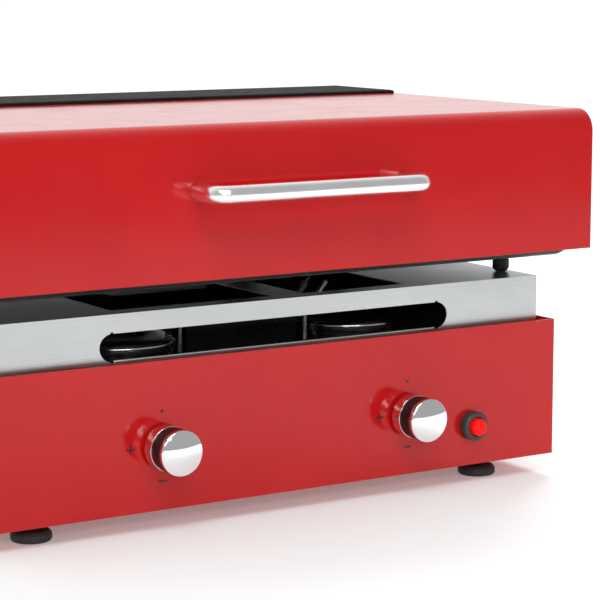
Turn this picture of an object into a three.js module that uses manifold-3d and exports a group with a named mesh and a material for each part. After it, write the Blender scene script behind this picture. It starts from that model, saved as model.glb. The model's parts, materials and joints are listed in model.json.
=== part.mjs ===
// Table-top gas griddle barbecue with a hinged hood.
//
// Millimetres, +X to the right, +Y to the back, +Z up.  Inside this file every Y is measured from the
// front face of the red base and every Z from its underside.  The whole model is moved at the end so
// that its origin is the middle of the bounding box at the height of the surface under the feet.

import * as THREE from 'three';
import { mergeVertices } from 'three/addons/utils/BufferGeometryUtils.js';
import Module from 'manifold-3d';

const wasm = await Module();
wasm.setup();

// ---------------------------------------------------------------- driving dimensions

// Red base: an open-topped sheet box
const baseWidth = 616;
const baseDepth = 410;
const baseHeight = 135;
const baseSheet = 1.5;
const ventLength = 70;
const ventWidth = 8;
const ventPitch = 40;
const ventCount = 5;
const ventCentreX = 122;

// Feet and their nuts
const footHeight = 20;
const footRadius = 18.5;
const footRimHeight = 6.5;
const footNeckRadius = 7.8;
const footInsetX = 65;
const footInsetY = 38;
const footStudRadius = 3;
const footStudRise = 12;
const nutWall = 2.75;
const nutHeight = 5;

// Stainless burner frame: a folded band with a deck on top
const frameInset = 12.7;
const frameRise = 42.8;
const frameSheet = 1.2;
const frameSkirtDrop = 40;
const frameLegWidth = 24;
const deckHoleOuterLeft = 165;
const deckHoleOuterRight = 150;
const deckStripFrom = 1;
const deckStripWidth = 34;
const deckFrontFlange = 20;
const deckRearFlange = 30;
const slotLength = 373;
const slotHeight = 25;
const slotDrop = 17.3;
const slotLipDepth = 7;
const slotLipInset = 14;
const slotNotchRadius = 1.6;

// Heat shield and drip tray inside the frame
const shieldDrop = 80.8;
const shieldSheet = 1;
const shieldTuck = 5;
const shieldSlopeRun = 46;
const shieldEndMargin = 8;
const shieldTopGap = 4;
const trayHalfWidth = 60;
const trayFrontY = 84;
const trayRearGap = 60;
const trayFloorDrop = 71.8;
const trayHeight = 42;
const traySheet = 1.2;

// Burners: a mixing tube with two round heads on each side
const burnerFrontY = 99;
const burnerHeadRadius = 55;
const burnerStepCount = 3;
const burnerStepHeight = 4.5;
const burnerStepInset = 2;
const burnerStepLand = 1;
const burnerTaperShare = 0.72;
const burnerTopDrop = 34.8;
const burnerCapThickness = 6;
const burnerCupDepth = 30;
const burnerNeckRadius = 15;
const burnerWall = 2;
const mixingTubeRadius = 14;
const mixingTubeFrontY = 66;
const mixingCollar = 2;

// Gas train
const valveRadius = 11;
const valveFrontY = 17;
const valveLength = 34;
const injectorLength = 8;
const injectorRadius = 5;
const pipeRadius = 6;
const pipeY = 32;
const pipeTurnInset = 84;
const pipeBendRadius = 30;
const pipeDropBelowValve = 8;
const pipePastValve = 10;
const saddleHalfWidth = 8;
const saddleHalfDepth = 9;
const stemEngagement = 10;
const inletHexRadius = 11;
const inletStickOut = 18;
const inletLengthInside = 24;
const inletNutThickness = 8;
const inletNutSetback = 6;
const inletBoreWall = 2.5;

// Control knobs
const knobOffset = 6;
const knobHeightShare = 58.2 / 135;
const knobRadius = 20.5;
const knobStandOff = 37;
const knobPush = 3;
const knobBackGap = 3.6;
const knobSkirtLength = 12.8;
const knobCapRim = 4.6;
const knobDome = 4;
const knobHubRadius = 12;
const stemRadius = 4;
const collarRadius = 9;
const collarThickness = 2.4;
const pushMargin = 1;

// Push-button igniter
const igniterSpacing = 75.5;
const igniterZ = 39.2;
const bezelStandOff = 10.5;
const sleeveRadius = 10.6;
const bezelFlange = 3.4;
const sleeveLength = 24;
const buttonRadius = 8.2;
const buttonProud = 5.6;
const buttonTravel = 5;
const piezoLength = 34;
const igniterNutWall = 3.9;

// Electrodes and flame sensors beside the front heads
const rodLane = 11;
const rodTrayGap = 1.6;
const electrodeY = 108;
const probeY = 82;
const rodBelowShield = 8;
const rodKneeDrop = 27.8;
const rodLean = 0.7;
const electrodeRadius = 3.4;
const electrodeRise = -2.8;
const electrodeWireRadius = 1.3;
const electrodeWireRise = 4.2;
const probeRadius = 2.6;
const probeRise = 1.2;
const leftRodDrop = 15;

// Griddle plate on four posts
const plateInset = 12.6;
const plateFrontGap = 9.7;
const plateRearGap = 9;
const plateUndersideRise = 21.6;
const plateHeight = 24;
const plateWall = 3;
const plateFloor = 6;
const plateEdgeRadius = 11;
const plateCornerRadius = 16;
const postRadius = 8.3;
const postInsetX = 25;
const postInsetY = 55;

// Hood: red lid in front, black cowl behind
const hoodOverhang = 24.7;
const hoodDepth = 460;
const hoodBottomRise = 28.6;
const hoodHeight = 135.4;
const hoodSheet = 1.5;
const lidBendRadius = 21.5;
const lidDepth = 336.2;
const cowlRise = 3;
const hingeRadius = 4;
const hingePinRadius = 1.8;
const hingeClearance = 0.4;
const hingeRearClearance = 0.4;
const hingeLeafDepth = 30;
const hingeLeafThickness = 1.6;
const knuckleLength = 110;
const bracketX = 200;
const bracketWidth = 40;
const bracketSheet = 3;
const bracketFootDrop = 70;
const bracketHeadRise = 90;
const bracketStepDrop = 12;

// Lid handle
const handleSpan = 218;
const handleTubeRadius = 8;
const handleStandOff = 37;
const handleBendRadius = 12;
const handleRise = 78.4;
const handleScrewRadius = 2.5;
const handleScrewHeadRadius = 6;

// Clearances between pieces that touch or run in each other
const gap = 0.3;
const neckClearance = 1.5;
const overcut = 2;

// ---------------------------------------------------------------- derived places

const deckZ = baseHeight + frameRise;
const frameHalf = baseWidth / 2 - frameInset;
const frameFrontY = frameInset;
const frameRearY = baseDepth - frameInset;
const slotTopZ = deckZ - slotDrop;
const slotCentreZ = slotTopZ - slotHeight / 2;
const plateZ = deckZ + plateUndersideRise;
const hoodHalf = baseWidth / 2 + hoodOverhang;
const hoodFrontY = -hoodOverhang;
const hoodRearY = hoodFrontY + hoodDepth;
const hoodBottomZ = deckZ + hoodBottomRise;
const hoodTopZ = hoodBottomZ + hoodHeight;
const lidRearY = hoodFrontY + lidDepth;
const hingeY = lidRearY + gap + hingeRadius + hingeClearance;
const hingeZ = hoodTopZ + cowlRise - hingeRadius;
const burnerRearY = baseDepth - burnerFrontY;
const handleBarY = hoodFrontY - handleStandOff;
const handleFrontY = handleBarY - handleTubeRadius;
const handleZ = hoodBottomZ + handleRise;
const cowlTopSetback = gap + hingeClearance + 2 * hingeRadius + hingeRearClearance;
const shieldZ = deckZ - shieldDrop;
const trayFloorZ = deckZ - trayFloorDrop;
const burnerTopZ = deckZ - burnerTopDrop;
const rodKneeZ = deckZ - rodKneeDrop;
const pipeTurnX = baseWidth / 2 - pipeTurnInset;
const headX = trayHalfWidth + rodLane + burnerHeadRadius;
const knobX = headX + knobOffset;
const knobZ = baseHeight * knobHeightShare;
const shieldFlatHalf = headX + burnerHeadRadius - shieldTuck;
const igniterX = knobX + igniterSpacing;
const bezelRadius = sleeveRadius + bezelFlange;
const igniterNutRadius = sleeveRadius + igniterNutWall;
const shieldTopZ = deckZ - frameSheet - gap - shieldTopGap;
const pipeZ = knobZ - valveRadius - pipeDropBelowValve - pipeRadius;

// ---------------------------------------------------------------- geometry helpers

function toManifold(geometry) {
  const bare = geometry.clone();
  for (const name of Object.keys(bare.attributes)) {
    if (name !== 'position') bare.deleteAttribute(name);
  }
  const merged = mergeVertices(bare, 1e-4);
  return new wasm.Manifold(new wasm.Mesh({
    numProp: 3,
    vertProperties: new Float32Array(merged.attributes.position.array),
    triVerts: new Uint32Array(merged.index.array),
  }));
}

function fromManifold(solid) {
  const mesh = solid.getMesh();
  const geometry = new THREE.BufferGeometry();
  geometry.setAttribute('position', new THREE.BufferAttribute(new Float32Array(mesh.vertProperties), 3));
  geometry.setIndex(new THREE.BufferAttribute(new Uint32Array(mesh.triVerts), 1));
  geometry.computeVertexNormals();
  return geometry;
}

function join(...pieces) {
  return fromManifold(pieces.map(toManifold).reduce((whole, piece) => whole.add(piece)));
}

function cut(body, ...tools) {
  return fromManifold(tools.map(toManifold).reduce((whole, tool) => whole.subtract(tool), toManifold(body)));
}

function box(x0, x1, y0, y1, z0, z1) {
  const geometry = new THREE.BoxGeometry(x1 - x0, y1 - y0, z1 - z0);
  return geometry.translate((x0 + x1) / 2, (y0 + y1) / 2, (z0 + z1) / 2);
}

function cylinderX(radius, x0, x1, y, z, segments = 20) {
  const geometry = new THREE.CylinderGeometry(radius, radius, x1 - x0, segments);
  return geometry.rotateZ(-Math.PI / 2).translate((x0 + x1) / 2, y, z);
}

function cylinderY(radius, x, y0, y1, z, segments = 24) {
  const geometry = new THREE.CylinderGeometry(radius, radius, y1 - y0, segments);
  return geometry.translate(0, (y0 + y1) / 2, 0).translate(x, 0, z);
}

function cylinderZ(radius, x, y, z0, z1, segments = 24) {
  const geometry = new THREE.CylinderGeometry(radius, radius, z1 - z0, segments);
  return geometry.rotateX(Math.PI / 2).translate(x, y, (z0 + z1) / 2);
}

// Turns a closed profile of [radius, height] points about +Z.  Points run upwards on the outside.
function latheZ(profile, segments = 20) {
  const geometry = new THREE.LatheGeometry(profile.map(([r, z]) => new THREE.Vector2(r, z)), segments);
  return geometry.rotateX(Math.PI / 2);
}

// Turns a profile about the Y direction; heights in the profile are distances in front of y = 0.
function latheFront(profile, x, z, segments = 24) {
  return latheZ(profile, segments).rotateX(Math.PI / 2).translate(x, 0, z);
}

function closed(profile) {
  return [...profile, profile[0]];
}

// Extrudes an outline of [y, z] points along X.
function prismX(outline, x0, x1) {
  const shape = new THREE.Shape(outline.map(([y, z]) => new THREE.Vector2(y, z)));
  const geometry = new THREE.ExtrudeGeometry(shape, { depth: x1 - x0, bevelEnabled: false });
  return geometry.rotateX(Math.PI / 2).rotateZ(Math.PI / 2).translate(x0, 0, 0);
}

// Extrudes an outline of [x, z] points along Y.
function prismY(outline, y0, y1) {
  const shape = new THREE.Shape(outline.map(([x, z]) => new THREE.Vector2(x, z)));
  const geometry = new THREE.ExtrudeGeometry(shape, { depth: y1 - y0, bevelEnabled: false });
  return geometry.rotateX(Math.PI / 2).translate(0, y1, 0);
}

// Outline of a bent sheet: the given line, and the same line moved sideways by the thickness.
function sheetOutline(points, thickness) {
  const offset = points.map((point, i) => {
    const before = points[Math.max(i - 1, 0)];
    const after = points[Math.min(i + 1, points.length - 1)];
    const inDir = new THREE.Vector2(point[0] - before[0], point[1] - before[1]).normalize();
    const outDir = new THREE.Vector2(after[0] - point[0], after[1] - point[1]).normalize();
    const first = i === 0 ? outDir : inDir;
    const last = i === points.length - 1 ? inDir : outDir;
    const along = first.clone().add(last).normalize();
    const stretch = thickness / along.dot(first);
    return [point[0] - along.y * stretch, point[1] + along.x * stretch];
  });
  return [...points, ...offset.reverse()];
}

function arcPoints(cy, cz, radius, from, to, steps) {
  return Array.from({ length: steps + 1 }, (_, i) => {
    const angle = from + (to - from) * i / steps;
    return [cy + radius * Math.cos(angle), cz + radius * Math.sin(angle)];
  });
}

// A closed solid through rounded-rectangle rings given as {halfX, y0, y1, radius, z}.
function ringLoft(rings, cornerSteps = 4) {
  const positions = [];
  const faces = [];
  const count = 4 * (cornerSteps + 1);
  for (const { halfX, y0, y1, radius, z } of rings) {
    const corners = [
      [halfX - radius, y1 - radius, 0],
      [-halfX + radius, y1 - radius, 1],
      [-halfX + radius, y0 + radius, 2],
      [halfX - radius, y0 + radius, 3],
    ];
    for (const [cx, cy, quarter] of corners) {
      for (const [x, y] of arcPoints(cx, cy, radius, quarter * Math.PI / 2, (quarter + 1) * Math.PI / 2, cornerSteps)) {
        positions.push(x, y, z);
      }
    }
  }
  for (let ring = 0; ring + 1 < rings.length; ring += 1) {
    for (let i = 0; i < count; i += 1) {
      const a = ring * count + i;
      const b = ring * count + (i + 1) % count;
      faces.push(a, b, b + count, a, b + count, a + count);
    }
  }
  const lastRing = (rings.length - 1) * count;
  for (let i = 1; i + 1 < count; i += 1) {
    faces.push(0, i + 1, i);
    faces.push(lastRing, lastRing + i, lastRing + i + 1);
  }
  const geometry = new THREE.BufferGeometry();
  geometry.setAttribute('position', new THREE.Float32BufferAttribute(positions, 3));
  geometry.setIndex(faces);
  geometry.computeVertexNormals();
  return geometry;
}

// A tube whose rings sit at the points of a flat polyline, each ring square to its corner.
function sweptPolyline(points, radius, sideCount) {
  const rings = points.map((point, i) => {
    const before = points[Math.max(i - 1, 0)];
    const after = points[Math.min(i + 1, points.length - 1)];
    const along = after.clone().sub(before).normalize();
    const across = new THREE.Vector3(along.y, -along.x, 0);
    return Array.from({ length: sideCount }, (_, k) => {
      const angle = 2 * Math.PI * k / sideCount;
      return point.clone()
        .addScaledVector(across, radius * Math.cos(angle))
        .add(new THREE.Vector3(0, 0, radius * Math.sin(angle)));
    });
  });
  const positions = rings.flat().flatMap((v) => [v.x, v.y, v.z]);
  const faces = [];
  for (let r = 0; r + 1 < rings.length; r += 1) {
    for (let k = 0; k < sideCount; k += 1) {
      const a = r * sideCount + k;
      const b = r * sideCount + (k + 1) % sideCount;
      faces.push(a, b + sideCount, b, a, a + sideCount, b + sideCount);
    }
  }
  const last = (rings.length - 1) * sideCount;
  for (let k = 1; k + 1 < sideCount; k += 1) {
    faces.push(0, k, k + 1);
    faces.push(last, last + k + 1, last + k);
  }
  const geometry = new THREE.BufferGeometry();
  geometry.setAttribute('position', new THREE.Float32BufferAttribute(positions, 3));
  geometry.setIndex(faces);
  geometry.computeVertexNormals();
  return geometry;
}

// ---------------------------------------------------------------- materials and scene building

function material(colour, roughness, metalness) {
  return new THREE.MeshStandardMaterial({ color: new THREE.Color(colour), roughness, metalness });
}

const finishes = {
  redPaint: () => material('#b82a2a', 0.18, 0.0),
  blackPaint: () => material('#161616', 0.4, 0.0),
  enamel: () => material('#1b1c1d', 0.3, 0.0),
  brushedSteel: () => material('#c4c4c4', 0.35, 1.0),
  chrome: () => material('#e8e8e8', 0.06, 1.0),
  brass: () => material('#b59148', 0.35, 1.0),
  aluminium: () => material('#b7babd', 0.4, 1.0),
  zincSteel: () => material('#9aa0a5', 0.45, 1.0),
  rubber: () => material('#2e3133', 0.75, 0.0),
  gripPlastic: () => material('#120c0c', 0.45, 0.0),
  bezelPlastic: () => material('#4b4b4b', 0.5, 0.0),
  redPlastic: () => material('#f00d0d', 0.35, 0.0),
  ceramic: () => material('#e9e5da', 0.5, 0.0),
  burnerSteel: () => material('#a9a7a3', 0.35, 1.0),
};

const grill = new THREE.Group();

function add(name, geometry, finish) {
  const mesh = new THREE.Mesh(geometry, finishes[finish]());
  mesh.name = name;
  grill.add(mesh);
}

const sides = [['left', -1], ['right', 1]];
const ends = [['front', 0], ['rear', 1]];

// ---------------------------------------------------------------- base and feet

function footPlaces() {
  return ends.flatMap(([end, isRear]) => sides.map(([side, sign]) => ({
    name: `${end}_${side}`,
    x: sign * (baseWidth / 2 - footInsetX),
    y: isRear ? baseDepth - footInsetY : footInsetY,
  })));
}

function baseShell() {
  const half = baseWidth / 2;
  const outer = box(-half, half, 0, baseDepth, 0, baseHeight);
  const inner = box(
    -half + baseSheet, half - baseSheet,
    baseSheet, baseDepth - baseSheet,
    baseSheet, baseHeight + overcut,
  );
  const holes = [
    cylinderY(sleeveRadius + gap, igniterX, -overcut, baseSheet + overcut, igniterZ),
    cylinderY(pipeRadius + 2 * gap, -pipeTurnX, baseDepth - baseSheet - overcut, baseDepth + overcut, pipeZ),
  ];
  for (const [, sign] of sides) {
    holes.push(cylinderY(stemRadius + 4 * gap, sign * knobX, -overcut, baseSheet + overcut, knobZ));
  }
  for (const { x, y } of footPlaces()) {
    holes.push(cylinderZ(footStudRadius + gap, x, y, -overcut, baseSheet + overcut, 16));
  }
  for (const [, sign] of sides) {
    for (let i = 0; i < ventCount; i += 1) {
      const y = baseDepth / 2 + (i - (ventCount - 1) / 2) * ventPitch;
      const x0 = sign * ventCentreX - ventLength / 2;
      holes.push(box(x0, x0 + ventLength, y - ventWidth / 2, y + ventWidth / 2, -overcut, baseSheet + overcut));
    }
  }
  return cut(outer, inner, ...holes);
}

function foot() {
  const rimTop = -footHeight + footRimHeight;
  return latheZ([
    [0, -footHeight],
    [footRadius - 1.5, -footHeight],
    [footRadius, -footHeight + 2],
    [footRadius, rimTop],
    [footRadius - 2.5, rimTop + 3],
    [footNeckRadius + 1.5, rimTop + 5.5],
    [footNeckRadius, -gap],
    [footStudRadius, -gap],
    [footStudRadius, footStudRise],
    [0, footStudRise],
  ]);
}

function footNut() {
  const seat = baseSheet + gap;
  const hexagon = cylinderZ(footStudRadius + nutWall, 0, 0, seat, seat + nutHeight, 6);
  return cut(hexagon, cylinderZ(footStudRadius + gap, 0, 0, seat - overcut, seat + nutHeight + overcut, 16));
}

// ---------------------------------------------------------------- stainless frame

function stadium(length, height, x, z, y0, y1) {
  const radius = height / 2;
  const straight = length / 2 - radius;
  const outline = [
    ...arcPoints(x + straight, z, radius, -Math.PI / 2, Math.PI / 2, 10),
    ...arcPoints(x - straight, z, radius, Math.PI / 2, 3 * Math.PI / 2, 10),
  ];
  return prismY(outline, y0, y1);
}

function burnerFrame() {
  const wall = frameSheet;
  const skirtZ = baseHeight - frameSkirtDrop;
  const floorZ = baseSheet + gap;
  const outer = box(-frameHalf, frameHalf, frameFrontY, frameRearY, floorZ, deckZ);
  const inner = box(
    -frameHalf + wall, frameHalf - wall,
    frameFrontY + wall, frameRearY - wall,
    floorZ - overcut, deckZ - wall,
  );
  const legInner = frameHalf - frameLegWidth;
  const tools = [
    inner,
    box(-legInner, legInner, frameFrontY - overcut, frameRearY + overcut, floorZ - overcut, skirtZ),
    box(
      -frameHalf - overcut, frameHalf + overcut,
      frameFrontY + frameLegWidth, frameRearY - frameLegWidth,
      floorZ - overcut, skirtZ,
    ),
    stadium(slotLength, slotHeight, 0, slotCentreZ, frameFrontY - overcut, frameFrontY + wall + overcut),
  ];
  for (const [fromX, toX] of [
    [-deckHoleOuterLeft, deckStripFrom],
    [deckStripFrom + deckStripWidth, deckHoleOuterRight],
  ]) {
    tools.push(box(
      fromX, toX,
      frameFrontY + deckFrontFlange, frameRearY - deckRearFlange,
      deckZ - wall - overcut, deckZ + overcut,
    ));
  }
  for (const [, sign] of sides) {
    for (const z of [slotCentreZ - slotHeight / 2, slotTopZ]) {
      const notchX = sign * (slotLength / 2 - slotLipInset + slotNotchRadius);
      tools.push(cylinderY(slotNotchRadius, notchX, frameFrontY - overcut, frameFrontY + wall + overcut, z, 12));
    }
  }
  const shell = cut(outer, ...tools);
  const lipHalf = slotLength / 2 - slotLipInset;
  const lips = [slotCentreZ - slotHeight / 2 - wall, slotTopZ].map((z) => (
    box(-lipHalf, lipHalf, frameFrontY + wall / 2, frameFrontY + slotLipDepth, z, z + wall)
  ));
  return join(shell, ...lips);
}

function heatShield() {
  const half = shieldFlatHalf;
  const outline = sheetOutline([
    [-half - shieldSlopeRun, shieldTopZ],
    [-half, shieldZ],
    [half, shieldZ],
    [half + shieldSlopeRun, shieldTopZ],
  ], shieldSheet);
  const sheet = prismY(outline, frameFrontY + shieldEndMargin, frameRearY - shieldEndMargin);
  const necks = [];
  for (const { x, y } of headPlaces()) {
    necks.push(cylinderZ(burnerNeckRadius + neckClearance, x, y, shieldZ - overcut, shieldZ + shieldSheet + overcut, 20));
  }
  for (const { electrodeX, probeX } of rodPlaces()) {
    for (const [x, y, radius] of [[electrodeX, electrodeY, electrodeRadius], [probeX, probeY, probeRadius]]) {
      necks.push(cylinderZ(radius + gap, x, y, shieldZ - overcut, shieldZ + shieldSheet + overcut, 16));
    }
  }
  return cut(sheet, ...necks);
}

function dripTray() {
  const rearY = frameRearY - trayRearGap;
  const rimZ = trayFloorZ + trayHeight;
  const outer = box(-trayHalfWidth, trayHalfWidth, trayFrontY, rearY, trayFloorZ, rimZ);
  const inner = box(
    -trayHalfWidth + traySheet, trayHalfWidth - traySheet,
    trayFrontY + traySheet, rearY - traySheet,
    trayFloorZ + traySheet, rimZ + overcut,
  );
  return cut(outer, inner);
}

// ---------------------------------------------------------------- burners and gas train

function headPlaces() {
  return sides.flatMap(([side, sign]) => ends.map(([end, isRear]) => ({
    name: `${side}_${end}`,
    x: sign * headX,
    y: isRear ? burnerRearY : burnerFrontY,
  })));
}

// Outline of a burner cup: stepped rings under the rim, then a taper down to the neck.
function cupProfile(radius, neck, bottomZ, rimZ) {
  const steps = Array.from({ length: burnerStepCount }, (_, i) => {
    const r = radius - i * burnerStepInset;
    const top = rimZ - i * burnerStepHeight;
    return [[r, top - burnerStepHeight + burnerStepLand], [r, top]];
  }).reverse().flat();
  return [
    [0, bottomZ],
    [neck, bottomZ],
    [neck, rimZ - burnerCupDepth],
    [radius * burnerTaperShare, rimZ - burnerCupDepth * burnerTaperShare],
    ...steps,
    [0, rimZ],
  ];
}

function burner(sign) {
  const x = sign * knobX;
  const rimZ = burnerTopZ - burnerCapThickness - gap;
  const wall = burnerWall;
  const rearY = burnerRearY + mixingTubeRadius;
  const outside = [
    cylinderY(mixingTubeRadius, x, mixingTubeFrontY, rearY, knobZ, 16),
    cylinderY(mixingTubeRadius + mixingCollar, x, mixingTubeFrontY, mixingTubeFrontY + 2 * mixingCollar, knobZ, 16),
  ];
  const inside = [
    cylinderY(mixingTubeRadius - wall, x, mixingTubeFrontY - overcut, burnerRearY, knobZ, 16),
  ];
  for (const y of [burnerFrontY, burnerRearY]) {
    const cup = latheZ(cupProfile(burnerHeadRadius, burnerNeckRadius, knobZ, rimZ));
    const hollow = latheZ(cupProfile(burnerHeadRadius - wall, burnerNeckRadius - wall, knobZ, rimZ + wall));
    outside.push(cup.translate(sign * headX, y, 0));
    inside.push(hollow.translate(sign * headX, y, 0));
  }
  return cut(join(...outside), ...inside);
}

function burnerCap(x, y) {
  const z = burnerTopZ - burnerCapThickness;
  const edge = burnerHeadRadius;
  return latheZ([
    [0, z],
    [edge, z],
    [edge, z + 2],
    [edge - 2.5, z + burnerCapThickness - 1],
    [edge - 6, z + burnerCapThickness],
    [edge * 0.5, z + burnerCapThickness],
    [edge * 0.44, z + burnerCapThickness - 1.2],
    [0, z + burnerCapThickness - 1.2],
  ]).translate(x, y, 0);
}

function gasValve(x) {
  const rearY = valveFrontY + valveLength;
  const barrel = cylinderY(valveRadius, x, valveFrontY, rearY, knobZ);
  const saddle = box(
    x - saddleHalfWidth, x + saddleHalfWidth,
    pipeY - saddleHalfDepth, pipeY + saddleHalfDepth,
    pipeZ + pipeRadius + gap, knobZ,
  );
  const bore = cylinderY(stemRadius + gap, x, valveFrontY - overcut, rearY - stemEngagement, knobZ);
  return cut(join(barrel, saddle), bore);
}

function injector(x) {
  const rearY = valveFrontY + valveLength + gap;
  const hex = cylinderY(injectorRadius * 1.3, x, rearY, rearY + injectorLength * 0.5, knobZ, 6);
  const nozzle = cylinderY(injectorRadius * 0.7, x, rearY, rearY + injectorLength, knobZ, 12);
  return join(hex, nozzle);
}

function gasPipe() {
  const at = (x, y) => new THREE.Vector3(x, y, pipeZ);
  const bendX = -pipeTurnX + pipeBendRadius;
  const bendY = pipeY + pipeBendRadius;
  const bend = arcPoints(bendX, bendY, pipeBendRadius, 3 * Math.PI / 2, Math.PI, 6).map(([x, y]) => at(x, y));
  const rearY = baseDepth - inletLengthInside - gap;
  return sweptPolyline([at(knobX + pipePastValve, pipeY), ...bend, at(-pipeTurnX, rearY)], pipeRadius, 12);
}

function gasInlet() {
  const y0 = baseDepth - inletLengthInside;
  const y1 = baseDepth + inletStickOut;
  const nipple = cylinderY(pipeRadius, -pipeTurnX, y0, y1, pipeZ);
  const outerNut = cylinderY(inletHexRadius, -pipeTurnX, baseDepth + gap, baseDepth + inletNutThickness, pipeZ, 6);
  const innerNut = cylinderY(inletHexRadius, -pipeTurnX, y0 + inletNutSetback, baseDepth - baseSheet - gap, pipeZ, 6);
  const bore = cylinderY(pipeRadius - inletBoreWall, -pipeTurnX, y0 + inletNutSetback - 1, y1 + overcut, pipeZ, 16);
  return cut(join(nipple, outerNut, innerNut), bore);
}

function rodPlaces() {
  return sides.map(([side, sign]) => ({
    side,
    sign,
    electrodeX: sign * (trayHalfWidth + rodTrayGap + electrodeRadius),
    probeX: sign * (trayHalfWidth + rodLane / 2 + rodTrayGap + probeRadius / 2),
  }));
}

// A rod that rises straight to the knee and then leans outwards up to its top.
function bentRod(radius, rise, sign, sideCount = 12) {
  const topZ = deckZ + rise - (sign < 0 ? leftRodDrop : 0);
  const at = (offset, z) => new THREE.Vector3(sign * offset, z, 0);
  const reach = (topZ - rodKneeZ) * Math.tan(rodLean);
  const stops = [at(0, shieldZ - rodBelowShield), at(0, rodKneeZ), at(reach, topZ)];
  return sweptPolyline(stops, radius, sideCount).rotateX(Math.PI / 2);
}

function electrode(x, sign) {
  const ceramic = bentRod(electrodeRadius, electrodeRise, sign);
  const wire = bentRod(electrodeWireRadius, electrodeWireRise, sign, 8);
  return join(ceramic, wire).translate(x, electrodeY, 0);
}

function flameProbe(x, sign) {
  return bentRod(probeRadius, probeRise, sign).translate(x, probeY, 0);
}

// ---------------------------------------------------------------- knobs and igniter

function knobSkirt(x) {
  const front = knobStandOff - knobCapRim - gap;
  const skirtFront = knobBackGap + knobSkirtLength;
  return latheFront(closed([
    [stemRadius + gap, knobBackGap + 4],
    [knobRadius - 2.5, knobBackGap + 4],
    [knobRadius - 2.5, knobBackGap],
    [knobRadius - 0.6, knobBackGap],
    [knobRadius, knobBackGap + 0.6],
    [knobRadius, skirtFront],
    [knobHubRadius, skirtFront],
    [knobHubRadius, front],
    [stemRadius + gap, front],
  ]), x, knobZ);
}

function knobGrip(x) {
  const back = knobBackGap + knobSkirtLength + gap;
  const front = knobStandOff - knobCapRim - gap;
  const groove = 0.8;
  return latheFront(closed([
    [knobHubRadius + gap, back],
    [knobRadius - groove, back],
    [knobRadius - groove, back + 1],
    [knobRadius - 0.2, back + 1.4],
    [knobRadius - 0.2, front - 1.4],
    [knobRadius - groove, front - 1],
    [knobRadius - groove, front],
    [knobHubRadius + gap, front],
  ]), x, knobZ);
}

function knobCap(x) {
  const back = knobStandOff - knobCapRim;
  const domeEdge = knobRadius - 0.8;
  const sphere = (domeEdge ** 2 + knobDome ** 2) / (2 * knobDome);
  const steps = 5;
  const dome = Array.from({ length: steps }, (_, i) => {
    const r = domeEdge * (1 - (i + 1) / steps);
    return [r, knobStandOff + knobDome - sphere + Math.sqrt(sphere ** 2 - r ** 2)];
  });
  return latheFront([
    [0, back],
    [knobRadius - 0.4, back],
    [knobRadius, back + 0.4],
    [knobRadius, knobStandOff - 0.8],
    [domeEdge, knobStandOff],
    ...dome,
  ], x, knobZ);
}

function knobStem(x) {
  const front = knobStandOff - knobCapRim - gap;
  const rear = valveFrontY + valveLength - stemEngagement - knobPush - pushMargin;
  return cylinderY(stemRadius, x, -front, rear, knobZ, 20);
}

function knobCollar(x) {
  const back = valveFrontY - knobPush - pushMargin;
  return latheFront(closed([
    [stemRadius + gap, -back],
    [collarRadius, -back],
    [collarRadius, -back + collarThickness],
    [stemRadius + gap, -back + collarThickness],
  ]), x, knobZ);
}

function igniterBezel() {
  const face = bezelStandOff;
  const bore = buttonRadius + gap;
  return latheFront(closed([
    [bore, -sleeveLength],
    [sleeveRadius, -sleeveLength],
    [sleeveRadius, gap],
    [bezelRadius, gap],
    [bezelRadius, face - 2],
    [bezelRadius - 1.6, face],
    [bore + 1.4, face],
    [bore, face - 1],
  ]), igniterX, igniterZ);
}

function igniterNut() {
  const seat = baseSheet + gap;
  const hexagon = cylinderY(igniterNutRadius, igniterX, seat, seat + nutHeight, igniterZ, 6);
  return cut(hexagon, cylinderY(sleeveRadius + gap, igniterX, seat - overcut, seat + nutHeight + overcut, igniterZ));
}

function igniterButton() {
  const front = bezelStandOff + buttonProud;
  return latheFront([
    [0, -sleeveLength + buttonTravel + 1.5],
    [buttonRadius, -sleeveLength + buttonTravel + 1.5],
    [buttonRadius, front - 2],
    [buttonRadius - 0.7, front - 0.6],
    [buttonRadius - 2.2, front],
    [0, front],
  ], igniterX, igniterZ);
}

function piezoBody() {
  const start = sleeveLength + gap;
  const barrel = cylinderY(sleeveRadius, igniterX, start, start + piezoLength, igniterZ);
  const terminal = cylinderY(2.5, igniterX, start + piezoLength - 1, start + piezoLength + 8, igniterZ, 12);
  return join(barrel, terminal);
}

// ---------------------------------------------------------------- griddle plate

function griddlePlate() {
  const halfX = hoodHalf - plateInset;
  const y0 = hoodFrontY + hoodSheet + plateFrontGap;
  const y1 = hoodRearY - plateRearGap;
  const ring = (inset, z, radius) => ({
    halfX: halfX - inset,
    y0: y0 + inset,
    y1: y1 - inset,
    radius,
    z,
  });
  const rings = [];
  const steps = 4;
  for (let i = 0; i <= steps; i += 1) {
    const angle = i / steps * Math.PI / 2;
    const inset = plateEdgeRadius * (1 - Math.sin(angle));
    const z = plateZ + plateEdgeRadius * (1 - Math.cos(angle));
    rings.push(ring(inset, z, plateCornerRadius - inset * 0.6));
  }
  const rimZ = plateZ + plateHeight;
  rings.push(ring(0, rimZ, plateCornerRadius));
  rings.push(ring(plateWall, rimZ, plateCornerRadius - plateWall));
  rings.push(ring(plateWall, plateZ + plateFloor + 5, plateCornerRadius - plateWall));
  rings.push(ring(plateWall + 5, plateZ + plateFloor, plateCornerRadius - plateWall - 4));
  return ringLoft(rings);
}

function platePost(x, y) {
  return latheZ([
    [0, deckZ + gap],
    [postRadius - 3, deckZ + gap],
    [postRadius, deckZ + gap + 3],
    [postRadius, plateZ - gap],
    [0, plateZ - gap],
  ], 24).translate(x, y, 0);
}

// ---------------------------------------------------------------- hood

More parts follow.
